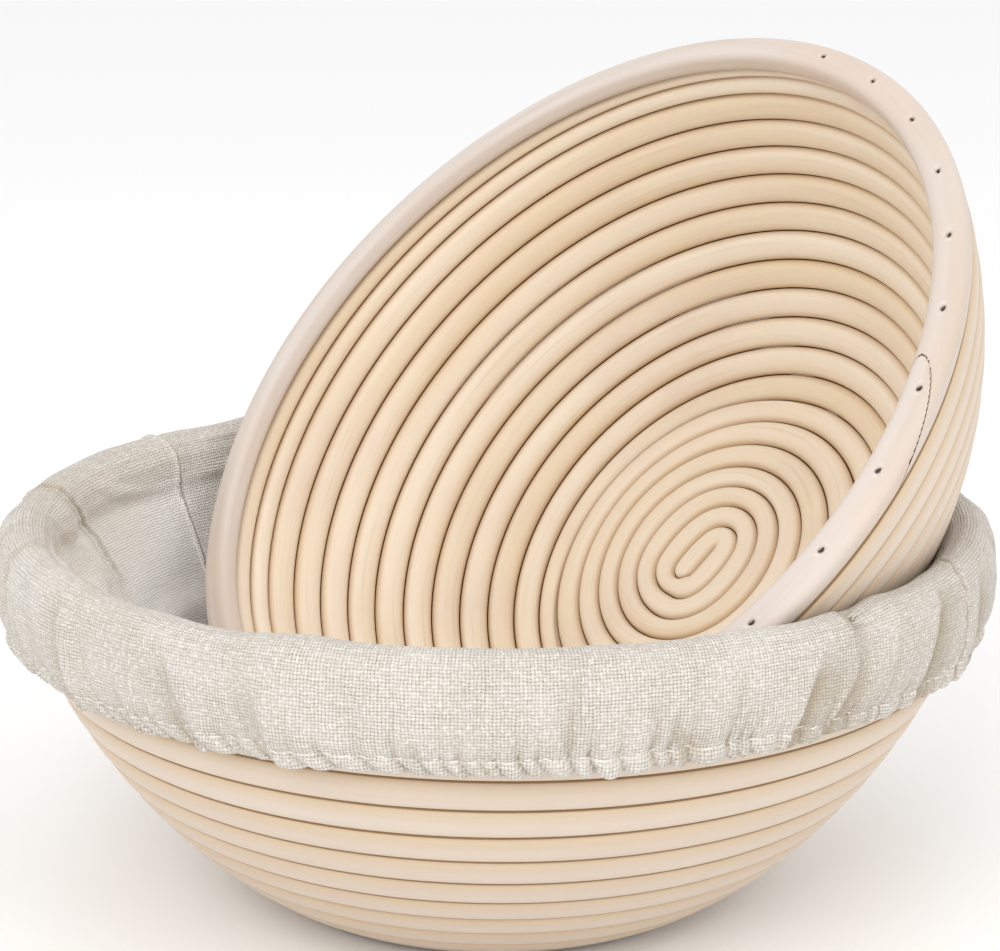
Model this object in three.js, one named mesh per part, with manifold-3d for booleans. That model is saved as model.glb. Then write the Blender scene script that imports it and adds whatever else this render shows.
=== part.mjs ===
// A nested pair of coiled-cane proofing baskets, in millimetres, +Z up.
// The lower basket stands on z = 0 and wears an elasticated linen liner; the second, slightly
// smaller basket leans in the liner. Every basket is cane wound in a spiral from a hairpin at the
// middle of its base, in three lengths butted end to end, a rim cane scarfed into a ring, and the
// brads that hold the rim down.
import * as THREE from 'three';
import Module from 'manifold-3d';
import { mergeVertices } from 'three/addons/utils/BufferGeometryUtils.js';

const wasm = await Module();
wasm.setup();

// ---- driving dimensions -------------------------------------------------------------------
const RIM_RADIUS = 125;        // outside of the lower basket's rim
const RIM_HEIGHT = 94;         // top of the rim above the base
const BASE_RADIUS = 55;        // flat of the base, before the wall curls up
const BASE_CURL = 12;          // how far the base runs on as the wall starts to rise
const WALL_RUN = 58;           // how long the wall holds its direction below the rim
const WALL_LEAN = 12;          // degrees that the wall leans out at the rim
const CANE_THICKNESS = 7.2;    // through the wall
const RIM_THICKNESS = 9.6;     // the rim cane is wider than the wall, towards the inside
const RIM_ROUND = 2.4;         // its top edges are worn round, a flat facet here
const RIM_CANE = 7.3;          // height of the rim cane along the wall
const BASE_PITCH = 8.1;        // width of one course on the base
const BASE_TURNS = 5.6;        // turns on the base, before the wider wall courses
const INNER_EASE = 0.9;        // how far each edge of a course comes in on its inner face
const GAP = 0.3;               // air between touching pieces

const SECOND_SCALE = 0.928;    // the second basket against the lower one
const SECOND_LEAN = 47;        // degrees that its axis leans from the vertical
const SECOND_TOWARDS = 219.2;  // azimuth that it leans towards
const SECOND_BASE = [64.1, 44.6, 68.5];   // middle of its base, where it lies in the liner

const STEP = 15;               // degrees between two stations of a turn
const JOG = 0.2;               // part of a turn over which a base course steps round the cane's end
const ROUND_AFTER = 3;         // turns after which the stepped coil has become an even spiral
const HAIRPIN = 5.4;           // half length of the straight slit at the coil's middle
const HAIRPIN_REACH = 38;      // distance at which the oval turns have become round
const HAIRPIN_SHARPNESS = 2;   // how straight the sides of the oval turns are
const DRIFT_REACH = 90;        // distance at which an off-centre coil has come back round the axis
const TIP_POWER = 0.38;        // how bluntly the last course ends under the rim

const SCARF_ANGLE = 20;        // overlap of the rim cane's two ends
const SCARF_STEP = 5;          // degrees between two stations of the scarf
const SCARF_TIP = 0.1;         // height of the cane's cut tips, part of the rim's
const SCARF_LAG = 51;          // degrees that the rim cane's tip lies past the end of the coil

const BRADS = 10;              // they hold the coil's end and the scarf, and no more of the rim
const BRAD_SPACING = 11.4;     // degrees
const BRAD_LEAD = 14;          // the first one's distance before the end of the coil, in degrees
const BRAD_SHANK = [1.2, 0.9, 14];
const BRAD_HEAD = [2.2, 1.3, 0.6];
const BRAD_SINK = 0.3;         // head below the rim's top
const RECESS_REACH = 2;        // how far the cutter of a brad's recess stands out of the rim
const JOIN = 0.01;             // shared height that makes a brad's head and shank one body

const LINEN = 0.8;             // thickness of the liner's cloth as a solid
const CLOTH_REST = 0.6;        // air between the cane and the cloth inside the bowl
const ROLL_REST = 0.8;         // air between the rim's top and the cloth rolled over it
const CLOTH_FROM = 47;         // the cloth's floor is flat out to this radius
const CLOTH_STEP = 9;          // width of the facets up its wall
const CLOTH_RIM = [4, 3];      // under the rim cane: the wall's last facet, the step inwards
const ROLL_END_Z = 90;         // the roll ends and the loose skirt begins
const SKIRT_RADIUS = 125.6;    // inside of the skirt, level with the rim
const SKIRT_BULGE_Z = 84;      // down to here the skirt hangs straight
const STITCH_Z = 76;           // running stitch that closes the elastic's channel
const HEM_Z = 70.2;            // folded bottom edge of the hem
const HEM_RADIUS = 120.2;      // inside of the hem's channel
const TURN_SHORT = 1;          // the turned-up leaf ends this far under the stitch
const CHANNEL = 3.4;           // the channel's width, both leaves of cloth included
const ELASTIC = [1, 3.6];      // flat elastic band: thickness and height
const SEAM_AZIMUTH = 165;      // the liner's two panels meet along this line across the bowl

// ---- colours ------------------------------------------------------------------------------
const CANE_COLOUR = new THREE.Color(0.86, 0.74, 0.58);
const RIM_COLOUR = new THREE.Color(0.9, 0.81, 0.72);
const STEEL_COLOUR = new THREE.Color(0.35, 0.33, 0.31);
const LINEN_COLOUR = new THREE.Color(0.87, 0.83, 0.76);
const ELASTIC_COLOUR = new THREE.Color(0.93, 0.93, 0.91);

const radians = THREE.MathUtils.degToRad;
const smooth = (x) => THREE.MathUtils.smoothstep(x, 0, 1);

function node(name, geometry, color, roughness, metalness = 0) {
  const mesh = new THREE.Mesh(geometry, new THREE.MeshStandardMaterial({ color, roughness, metalness }));
  mesh.name = name;
  return mesh;
}

// ---- the outside profile of a bowl, by its arc length from the axis ------------------------
function bowlProfile(scale) {
  const lean = radians(WALL_LEAN);
  const rim = new THREE.Vector2(RIM_RADIUS, RIM_HEIGHT);
  const wallStart = new THREE.Vector2(BASE_RADIUS, 0);
  const path = new THREE.CurvePath();
  path.add(new THREE.LineCurve(new THREE.Vector2(0, 0), wallStart));
  path.add(new THREE.CubicBezierCurve(
    wallStart,
    new THREE.Vector2(BASE_RADIUS + BASE_CURL, 0),
    new THREE.Vector2(RIM_RADIUS - WALL_RUN * Math.sin(lean), RIM_HEIGHT - WALL_RUN * Math.cos(lean)),
    rim,
  ));
  const length = path.getLength() * scale;
  // A point at arc length s, moved inwards by depth along the wall's normal: x is the radius.
  // Past the rim it runs straight on.
  const at = (s, depth) => {
    const onWall = THREE.MathUtils.clamp(s, 0, length);
    const point = path.getPoint(onWall / length).multiplyScalar(scale);
    const run = path.getTangent(onWall / length);
    const past = s - onWall;
    return new THREE.Vector2(point.x + run.x * past - run.y * depth, point.y + run.y * past + run.x * depth);
  };
  return { length, at };
}

// ---- a closed solid swept through stations, each a ring of corner points -------------------
function sweptSolid(stations) {
  const sides = stations[0].length;
  const positions = stations.flat().flatMap((p) => [p.x, p.y, p.z]);
  const index = [];
  for (let i = 0; i + 1 < stations.length; i++) {
    for (let j = 0; j < sides; j++) {
      const a = i * sides + j;
      const b = i * sides + ((j + 1) % sides);
      index.push(a, b, b + sides, a, b + sides, a + sides);
    }
  }
  const last = (stations.length - 1) * sides;
  for (let j = 1; j + 1 < sides; j++) {
    index.push(0, j + 1, j);
    index.push(last, last + j, last + j + 1);
  }
  const geometry = new THREE.BufferGeometry();
  geometry.setAttribute('position', new THREE.Float32BufferAttribute(positions, 3));
  geometry.setIndex(index);
  return geometry;
}

// ---- booleans -----------------------------------------------------------------------------
function toManifold(geometry) {
  const bare = geometry.clone();
  bare.deleteAttribute('normal');
  bare.deleteAttribute('uv');
  const merged = mergeVertices(bare, 1e-4);
  const corners = merged.index.array;
  const triangles = [];
  for (let i = 0; i < corners.length; i += 3) {
    const [a, b, c] = corners.subarray(i, i + 3);
    if (a !== b && b !== c && c !== a) triangles.push(a, b, c);   // a lathe's flat ones at its poles go
  }
  return new wasm.Manifold(new wasm.Mesh({
    numProp: 3,
    vertProperties: new Float32Array(merged.attributes.position.array),
    triVerts: new Uint32Array(triangles),
  }));
}

function fromManifold(solid) {
  const mesh = solid.getMesh();
  const geometry = new THREE.BufferGeometry();
  geometry.setAttribute('position', new THREE.Float32BufferAttribute(mesh.vertProperties, 3));
  geometry.setIndex(new THREE.Uint32BufferAttribute(mesh.triVerts, 1));
  return geometry;
}

function subtract(geometry, cutters) {
  const cut = toManifold(geometry).subtract(wasm.Manifold.union(cutters.map(toManifold)));
  return fromManifold(cut);
}

// ---- one basket ---------------------------------------------------------------------------
// startAzimuth is where the hairpin's closed end points; turns is the coil's whole length, and
// butts are the stations at which one length of its cane ends and the next begins. drift is how
// far the winding's middle lies off the basket's axis.
// Looking into the bowl the cane runs clockwise as it goes outwards.
function basket(prefix, { scale, startAzimuth, turns, butts, drift }) {
  const profile = bowlProfile(scale);
  const seat = profile.length - RIM_CANE * scale;         // arc length of the rim cane's underside
  const basePitch = BASE_PITCH * scale;
  const baseEdge = BASE_TURNS * basePitch;
  const wallPitch = (seat - baseEdge) / (turns - BASE_TURNS);
  const thickness = CANE_THICKNESS * scale;
  const azimuthOf = (turn) => radians(startAzimuth) - turn * 2 * Math.PI;

  // Arc length of the groove under the course at a number of turns from the start.
  function groove(turn) {
    const left = turns - turn;
    if (left <= 0) return seat;
    if (left < 1) return seat - wallPitch * left ** TIP_POWER;
    const u = turn - 0.5;
    if (u <= 0) return 0;
    const whole = Math.floor(u);
    const stepped = whole + smooth((u - whole) / JOG);
    const even = Math.min(u / ROUND_AFTER, 1);
    const courses = THREE.MathUtils.lerp(stepped, turn, even);
    return courses < BASE_TURNS ? courses * basePitch : baseEdge + (courses - BASE_TURNS) * wallPitch;
  }

  // A point of the bowl; near the middle the turns are drawn out along the hairpin.
  function place(s, turn, depth) {
    const azimuth = azimuthOf(turn);
    const p = profile.at(s, depth);
    const point = new THREE.Vector3(p.x * Math.cos(azimuth), p.x * Math.sin(azimuth), p.y);
    const oval = 1 - smooth(s / (HAIRPIN_REACH * scale));
    const along = Math.tanh(HAIRPIN_SHARPNESS * Math.cos(turn * 2 * Math.PI)) / Math.tanh(HAIRPIN_SHARPNESS);
    const reach = HAIRPIN * scale * oval * along;
    const aside = (basePitch / 2) * oval;
    const axis = radians(startAzimuth);
    const drifted = 1 - smooth(s / DRIFT_REACH);
    point.x += reach * Math.cos(axis) + aside * Math.cos(axis - Math.PI / 2) + drift[0] * drifted;
    point.y += reach * Math.sin(axis) + aside * Math.sin(axis - Math.PI / 2) + drift[1] * drifted;
    return point;
  }

  // A course is a little narrower on its inner face, so that neighbours stay clear round the curl.
  function section(from, to, turn, depth) {
    return [
      place(from, turn, 0),
      place(to, turn, 0),
      place(to - INNER_EASE, turn, depth),
      place(from + INNER_EASE, turn, depth),
    ];
  }

  // Between two stations a point lies on the flat facet, as the liner around the rim does.
  function onFacet(s, turn, depth) {
    const stationsIn = (turn * 360) / STEP;
    const before = Math.floor(stationsIn + 1e-6);
    const from = place(s, (before * STEP) / 360, depth);
    const to = place(s, ((before + 1) * STEP) / 360, depth);
    return from.lerp(to, Math.max(stationsIn - before, 0));
  }

  // The rim's top edges are bevelled, wherever in its height a section of it begins and ends.
  function rimSection(from, to, turn) {
    const depth = RIM_THICKNESS * scale;
    const bevel = profile.length - RIM_ROUND * scale;
    const inset = (s) => Math.max(s - bevel, 0);
    const margin = (to - from) / 4;
    const middle = THREE.MathUtils.clamp(bevel, from + margin, to - margin);
    const levels = [from, middle, to];
    const outside = levels.map((s) => onFacet(s, turn, inset(s)));
    const inside = levels.map((s) => onFacet(s, turn, depth - inset(s)));
    return [...outside, ...inside.reverse()];
  }

  // One length of the coil's cane, between two stations; where it meets the next, half a gap is left.
  const perTurn = 360 / STEP;
  const firstStation = -perTurn / 2 + 1;
  const lastStation = Math.ceil(turns * perTurn) - 1;
  function coilCane(first, final) {
    const stations = [];
    const backOff = (station) => GAP / 2 / (2 * Math.PI * profile.at(groove(station / perTurn), 0).x);
    for (let i = first; i <= final; i++) {
      let turn = i / perTurn;
      if (i === first && i > firstStation) turn += backOff(i);
      if (i === final && i < lastStation) turn -= backOff(i);
      stations.push(section(groove(turn) + GAP / 2, groove(turn + 1) - GAP / 2, turn, thickness));
    }
    return sweptSolid(stations);
  }

  // The rim cane goes once round and its two ends overlap in a scarf, the tip lying on top.
  const scarfTurn = (Math.round(((turns + SCARF_LAG / 360) * 360) / STEP) * STEP) / 360;
  function rimCane() {
    const bottom = seat + GAP / 2;
    const top = profile.length;
    const height = top - bottom;
    const overlap = SCARF_ANGLE / 360;
    const split = (part) => top - height * (SCARF_TIP + (1 - 2 * SCARF_TIP) * part);
    const angles = [];
    for (let a = 0; a <= SCARF_ANGLE; a += SCARF_STEP) angles.push(a);
    for (let a = STEP * Math.ceil(SCARF_ANGLE / STEP); a < 360; a += STEP) angles.push(a);
    for (let a = 360; a <= 360 + SCARF_ANGLE; a += SCARF_STEP) angles.push(a);
    return sweptSolid(angles.map((angle) => {
      const part = angle / 360;
      const from = part < overlap ? split(part / overlap) + GAP / 2 : bottom;
      const to = part >= 1 ? split((part - 1) / overlap) - GAP / 2 : top;
      return rimSection(from, to, scarfTurn + part);
    }));
  }

  // The frame of one brad: its own +Z runs up out of the rim along the wall.
  function bradFrame(i) {
    const turn = turns - (BRAD_LEAD - i * BRAD_SPACING) / 360;
    const middle = (RIM_THICKNESS * scale) / 2;
    const head = place(profile.length, turn, middle);
    const below = place(profile.length - BRAD_SHANK[2], turn, middle);
    const up = head.clone().sub(below).normalize();
    const along = new THREE.Vector3(-Math.sin(azimuthOf(turn)), Math.cos(azimuthOf(turn)), 0);
    const across = new THREE.Vector3().crossVectors(up, along);
    return new THREE.Matrix4().makeBasis(along, across, up).setPosition(head);
  }

  // Head and shank in one outline, or the recess and hole that take them, wider by the gap.
  function bradSolid(i, spare) {
    const [headLong, headWide, headHigh] = BRAD_HEAD;
    const [shankLong, shankWide, shankHigh] = BRAD_SHANK;
    const top = spare > 0 ? RECESS_REACH : -BRAD_SINK;
    const neck = -BRAD_SINK - headHigh - spare;
    const head = new THREE.BoxGeometry(headLong + 2 * spare, headWide + 2 * spare, top - neck);
    head.translate(0, 0, (top + neck) / 2);
    const shank = new THREE.BoxGeometry(shankLong + 2 * spare, shankWide + 2 * spare, shankHigh + spare);
    shank.translate(0, 0, neck + spare - (shankHigh + spare) / 2 + JOIN);
    const joined = fromManifold(toManifold(head).add(toManifold(shank)));
    return joined.applyMatrix4(bradFrame(i));
  }

  const holes = Array.from({ length: BRADS }, (_, i) => bradSolid(i, GAP));
  const group = new THREE.Group();
  const ends = [firstStation, ...butts, lastStation];
  for (let i = 0; i + 1 < ends.length; i++) {
    const length = subtract(coilCane(ends[i], ends[i + 1]), holes);
    group.add(node(`${prefix}_coil_cane_${i + 1}`, length, CANE_COLOUR, 0.6));
  }
  group.add(node(`${prefix}_rim_cane`, subtract(rimCane(), holes), RIM_COLOUR, 0.55));
  for (let i = 0; i < BRADS; i++) {
    group.add(node(`${prefix}_brad_${i + 1}`, bradSolid(i, 0), STEEL_COLOUR, 0.4, 1));
  }
  return group;
}

// ---- the linen liner ----------------------------------------------------------------------
const LATHE_STEPS = 360 / STEP;

// A closed outline of radius and height turned about Z, its facets in line with the basket's.
function turned(outline) {
  const onAxis = outline[0].x === 0;
  const points = onAxis ? outline : [...outline, outline[0]];
  return new THREE.LatheGeometry(points, LATHE_STEPS).rotateX(Math.PI / 2);
}

function liner() {
  const profile = bowlProfile(1);
  const seat = profile.length - RIM_CANE;
  const rest = CANE_THICKNESS + CLOTH_REST;
  const rimRest = RIM_THICKNESS + CLOTH_REST;

  // One face of the bowl's cloth, lift away from the cane, from the middle out over the rim.
  function face(lift) {
    const wall = [];
    const [wallEnd, stepStart] = CLOTH_RIM;
    for (let s = CLOTH_FROM; s < seat - wallEnd; s += CLOTH_STEP) wall.push(profile.at(s, rest + lift));
    return [
      new THREE.Vector2(0, rest + lift),
      ...wall,
      profile.at(seat - stepStart - lift / 2, rest + lift),
      profile.at(seat - lift / 2, rimRest + lift),
      profile.at(profile.length - RIM_ROUND, rimRest + lift),
      profile.at(profile.length + ROLL_REST + lift, RIM_THICKNESS - RIM_ROUND),
      profile.at(profile.length + ROLL_REST + lift, RIM_ROUND),
      new THREE.Vector2(SKIRT_RADIUS + lift, RIM_HEIGHT - RIM_ROUND + lift / 2),
      new THREE.Vector2(SKIRT_RADIUS + lift, ROLL_END_Z),
    ];
  }

  const bowl = toManifold(turned([...face(0), ...face(LINEN).reverse()]));
  const across = radians(SEAM_AZIMUTH + 90);
  const normal = [Math.cos(across), Math.sin(across), 0];
  const half = (side) => fromManifold(bowl.trimByPlane(normal.map((x) => x * side), GAP / 2));

  const leaf = HEM_RADIUS + CHANNEL;
  const skirt = turned([
    new THREE.Vector2(SKIRT_RADIUS, ROLL_END_Z - GAP),
    new THREE.Vector2(SKIRT_RADIUS, SKIRT_BULGE_Z),
    new THREE.Vector2(leaf - LINEN, STITCH_Z),
    new THREE.Vector2(leaf, STITCH_Z),
    new THREE.Vector2(SKIRT_RADIUS + LINEN, SKIRT_BULGE_Z),
    new THREE.Vector2(SKIRT_RADIUS + LINEN, ROLL_END_Z - GAP),
  ]);
  const turnedUp = STITCH_Z - TURN_SHORT;
  const hem = turned([
    new THREE.Vector2(HEM_RADIUS, turnedUp),
    new THREE.Vector2(HEM_RADIUS, HEM_Z),
    new THREE.Vector2(leaf, HEM_Z),
    new THREE.Vector2(leaf, STITCH_Z - GAP),
    new THREE.Vector2(leaf - LINEN, STITCH_Z - GAP),
    new THREE.Vector2(leaf - LINEN, HEM_Z + LINEN),
    new THREE.Vector2(HEM_RADIUS + LINEN, HEM_Z + LINEN),
    new THREE.Vector2(HEM_RADIUS + LINEN, turnedUp),
  ]);
  const [bandThick, bandHigh] = ELASTIC;
  const bandInside = HEM_RADIUS + (CHANNEL - bandThick) / 2;
  const bandBottom = HEM_Z + LINEN + GAP;
  const elastic = turned([
    new THREE.Vector2(bandInside, bandBottom + bandHigh),
    new THREE.Vector2(bandInside, bandBottom),
    new THREE.Vector2(bandInside + bandThick, bandBottom),
    new THREE.Vector2(bandInside + bandThick, bandBottom + bandHigh),
  ]);

  const group = new THREE.Group();
  group.add(node('liner_back_panel', half(-1), LINEN_COLOUR, 0.95));
  group.add(node('liner_front_panel', half(1), LINEN_COLOUR, 0.95));
  group.add(node('liner_skirt', skirt, LINEN_COLOUR, 0.95));
  group.add(node('liner_hem_channel', hem, LINEN_COLOUR, 0.95));
  group.add(node('liner_elastic_band', elastic, ELASTIC_COLOUR, 0.8));
  return group;
}

// ---- the set ------------------------------------------------------------------------------
const lower = basket('lower', { scale: 1, startAzimuth: 180, turns: 19, butts: [150, 294], drift: [0, 0] });
const second = basket('second', {
  scale: SECOND_SCALE,
  startAzimuth: 166.5,
  turns: 19.03,
  butts: [155, 299],
  drift: [2.2, -7.6],
});
second.rotation.set(0, radians(SECOND_LEAN), radians(SECOND_TOWARDS), 'ZYX');
second.position.set(...SECOND_BASE);

const set = new THREE.Group();
set.add(lower, liner(), second);

export default set;
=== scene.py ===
"""A nested pair of coiled-cane proofing baskets with a linen liner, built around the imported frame.

Everything is in metres in the frame's own axes. The two canes of each basket are swept along the
same spiral and rim that the frame's solids follow; the liner is two cloth panels sewn together.
"""

import math

import bpy
import numpy as np
from mathutils import Matrix, Vector


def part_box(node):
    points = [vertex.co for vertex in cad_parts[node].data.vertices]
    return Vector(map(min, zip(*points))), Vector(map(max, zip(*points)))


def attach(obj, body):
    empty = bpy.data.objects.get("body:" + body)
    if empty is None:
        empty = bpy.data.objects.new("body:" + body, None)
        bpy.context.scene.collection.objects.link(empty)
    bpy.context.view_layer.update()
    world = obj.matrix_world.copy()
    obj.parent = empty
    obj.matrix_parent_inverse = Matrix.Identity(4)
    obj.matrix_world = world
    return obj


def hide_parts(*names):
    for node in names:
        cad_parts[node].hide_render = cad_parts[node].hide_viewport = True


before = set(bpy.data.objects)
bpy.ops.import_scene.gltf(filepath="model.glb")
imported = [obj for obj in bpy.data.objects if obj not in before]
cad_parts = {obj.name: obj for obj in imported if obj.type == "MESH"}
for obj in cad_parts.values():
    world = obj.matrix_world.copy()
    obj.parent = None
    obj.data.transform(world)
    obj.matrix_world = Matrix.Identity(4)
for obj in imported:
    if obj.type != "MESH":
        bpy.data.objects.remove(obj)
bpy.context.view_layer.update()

MM = 0.001
TAU = 2 * math.pi

# ---- the baskets' design dimensions, as the frame has them ----------------------------------
RIM_RADIUS = 125 * MM
RIM_HEIGHT = 94 * MM
BASE_RADIUS = 55 * MM
BASE_CURL = 12 * MM
WALL_RUN = 58 * MM
WALL_LEAN = math.radians(12)
CANE_THICKNESS = 7.2 * MM
RIM_THICKNESS = 9.6 * MM
RIM_CANE = 7.3 * MM
BASE_PITCH = 8.1 * MM
BASE_TURNS = 5.6
SECOND_SCALE = 0.928
SECOND_LEAN = math.radians(47)
SECOND_TOWARDS = math.radians(219.2)
SECOND_BASE = (64.1 * MM, 44.6 * MM, 68.5 * MM)
JOG = 0.2
ROUND_AFTER = 3
HAIRPIN = 5.4 * MM
HAIRPIN_REACH = 38 * MM
DRIFT_REACH = 90 * MM
HAIRPIN_SHARPNESS = 2
TIP_POWER = 0.38
SCARF_LAG = 51
SCARF_ANGLE = 20
BRADS = 10


# ---- camera ---------------------------------------------------------------------------------
def make_camera():
    data = bpy.data.cameras.new("camera")
    data.sensor_width = 36
    data.lens = 89.53
    data.clip_end = 50
    cam = bpy.data.objects.new("camera", data)
    bpy.context.scene.collection.objects.link(cam)
    cam.location = (0.0009, -0.6166, 0.2655)
    cam.rotation_euler = (math.radians(90 - 14.53), 0, 0)
    bpy.context.scene.camera = cam


make_camera()


# ---- small tools ----------------------------------------------------------------------------
def smooth(x):
    x = np.clip(x, 0, 1)
    return x * x * (3 - 2 * x)


def lerp(a, b, t):
    return a + (b - a) * t


def bell(x, width):
    return np.exp(-((x / width) ** 2))


class Waves:
    """A smooth wandering value: a few sines of random phase, between about -1 and 1."""

    def __init__(self, seed, frequencies):
        rng = np.random.default_rng(seed)
        self.frequencies = np.array(frequencies, float)
        self.phases = rng.uniform(0, TAU, len(frequencies))
        self.sizes = rng.uniform(0.6, 1.0, len(frequencies))
        self.sizes /= self.sizes.sum()

    def __call__(self, x):
        x = np.asarray(x, float)[..., None]
        return (np.sin(x * self.frequencies * TAU + self.phases) * self.sizes).sum(-1)


def make_object(name, points, faces, uv=None, values=None, sharp=None):
    """A mesh object. uv holds one pair for each corner of each face, values named point values."""
    mesh = bpy.data.meshes.new(name)
    mesh.from_pydata(np.asarray(points, float).reshape(-1, 3).tolist(), [], faces)
    if uv is not None:
        layer = mesh.uv_layers.new(name="UVMap")
        layer.data.foreach_set("uv", np.asarray(uv, np.float32).ravel())
    for key, value in (values or {}).items():
        attribute = mesh.attributes.new(key, "FLOAT", "POINT")
        attribute.data.foreach_set("value", np.asarray(value, np.float32).ravel())
    mesh.polygons.foreach_set("use_smooth", np.ones(len(mesh.polygons), bool))
    if sharp:
        mesh.set_sharp_from_angle(angle=math.radians(sharp))
    mesh.validate()
    mesh.update()
    obj = bpy.data.objects.new(name, mesh)
    bpy.context.scene.collection.objects.link(obj)
    return obj


def swept(name, rings, along, around, values=None, sharp=None):
    """A closed body through rings of points; along and around are the UV lengths of its grid."""
    count, sides = rings.shape[:2]
    i, j = np.meshgrid(np.arange(count - 1), np.arange(sides), indexing="ij")
    i, j = i.ravel(), j.ravel()
    k = (j + 1) % sides
    faces = np.stack([i * sides + j, i * sides + k, (i + 1) * sides + k, (i + 1) * sides + j], 1)
    u = np.stack([along[i], along[i], along[i + 1], along[i + 1]], 1)
    v = np.stack([around[j], around[j + 1], around[j + 1], around[j]], 1)
    uv = np.stack([u, v], -1).reshape(-1, 2)
    ends = [list(range(sides))[::-1], [(count - 1) * sides + n for n in range(sides)]]
    end_uv = [(along[0], around[n]) for n in ends[0]] + [(along[-1], around[n]) for n in range(sides)]
    return make_object(name, rings, faces.tolist() + ends, np.vstack([uv, end_uv]), values, sharp)


def lengths(points):
    """Running length along a line of points."""
    steps = np.linalg.norm(np.diff(points, axis=0), axis=-1)
    return np.concatenate([[0], np.cumsum(steps)])


# ---- the bowl that a basket's canes follow ---------------------------------------------------
class Bowl:
    """The outside profile of a basket by arc length from the axis, and its spiral of cane."""

    def __init__(self, scale, start_azimuth, turns, seed, drift=(0, 0)):
        self.scale, self.turns, self.drift = scale, turns, drift
        self.start = math.radians(start_azimuth)
        t = np.linspace(0, 1, 3000)[:, None]
        a = np.array([BASE_RADIUS, 0])
        b = np.array([BASE_RADIUS + BASE_CURL, 0])
        c = np.array([
            RIM_RADIUS - WALL_RUN * math.sin(WALL_LEAN),
            RIM_HEIGHT - WALL_RUN * math.cos(WALL_LEAN),
        ])
        d = np.array([RIM_RADIUS, RIM_HEIGHT])
        curve = (1 - t) ** 3 * a + 3 * (1 - t) ** 2 * t * b + 3 * (1 - t) * t * t * c + t**3 * d
        self.line = np.vstack([np.linspace([0, 0], a, 300)[:-1], curve]) * scale
        self.s = lengths(self.line)
        self.length = self.s[-1]
        run = np.gradient(self.line, self.s, axis=0)
        self.run = run / np.linalg.norm(run, axis=1)[:, None]
        self.seat = self.length - RIM_CANE * scale
        self.base_pitch = BASE_PITCH * scale
        self.base_edge = BASE_TURNS * self.base_pitch
        self.wall_pitch = (self.seat - self.base_edge) / (turns - BASE_TURNS)
        self.wander = Waves(seed, [0.37, 0.83, 1.61, 2.3])

    def at(self, s, depth):
        """Radius and height at arc length s, depth inwards from the outside."""
        on_wall = np.clip(s, 0, self.length)
        x, z = (np.interp(on_wall, self.s, self.line[:, n]) for n in (0, 1))
        rx, rz = (np.interp(on_wall, self.s, self.run[:, n]) for n in (0, 1))
        past = s - on_wall
        return x + rx * past - rz * depth, z + rz * past + rx * depth

    def azimuth(self, turn):
        return self.start - turn * TAU

    def groove(self, turn):
        """Arc length of the groove under the course at a number of turns from the start."""
        turn = np.asarray(turn, float)
        u = turn - 0.5
        whole = np.floor(u)
        stepped = whole + smooth((u - whole) / JOG)
        courses = lerp(stepped, turn, np.clip(u / ROUND_AFTER, 0, 1))
        on_base = courses * self.base_pitch
        on_wall = self.base_edge + (courses - BASE_TURNS) * self.wall_pitch
        s = np.where(courses < BASE_TURNS, on_base, on_wall)
        s = np.where(u <= 0, 0, s)
        left = self.turns - turn
        tip = self.seat - self.wall_pitch * np.clip(left, 0, 1) ** TIP_POWER
        s = np.where(left < 1, tip, s)
        calm = smooth(left - 1) * smooth(turn - 1)
        return s + 0.13 * MM * self.wander(turn) * calm

    def place(self, s, turn, depth):
        """A point of the bowl; near the middle the turns are drawn out along the hairpin."""
        azimuth = self.azimuth(turn)
        r, z = self.at(s, depth)
        oval = 1 - smooth(s / (HAIRPIN_REACH * self.scale))
        along = np.tanh(HAIRPIN_SHARPNESS * np.cos(turn * TAU)) / math.tanh(HAIRPIN_SHARPNESS)
        reach = HAIRPIN * self.scale * oval * along
        aside = (self.base_pitch / 2) * oval
        drifted = 1 - smooth(s / DRIFT_REACH)
        x = r * np.cos(azimuth) + reach * math.cos(self.start) + aside * math.sin(self.start)
        y = r * np.sin(azimuth) + reach * math.sin(self.start) - aside * math.cos(self.start)
        x, y = x + self.drift[0] * drifted, y + self.drift[1] * drifted
        return np.stack(np.broadcast_arrays(x, y, z), -1)

    def scarf_turn(self):
        step = 15
        return round((self.turns + SCARF_LAG / 360) * 360 / step) * step / 360

    def brad_turns(self):
        return self.turns - (14 - 11.4 * np.arange(BRADS)) / 360


LOWER = Bowl(1.0, 180, 19, seed=3)
SECOND = Bowl(SECOND_SCALE, 166.5, 19.03, seed=8, drift=(2.2 * MM, -7.6 * MM))
SECOND_PLACE = (
    Matrix.Translation(SECOND_BASE)
    @ Matrix.Rotation(SECOND_TOWARDS, 4, "Z")
    @ Matrix.Rotation(SECOND_LEAN, 4, "Y")
)


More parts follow.
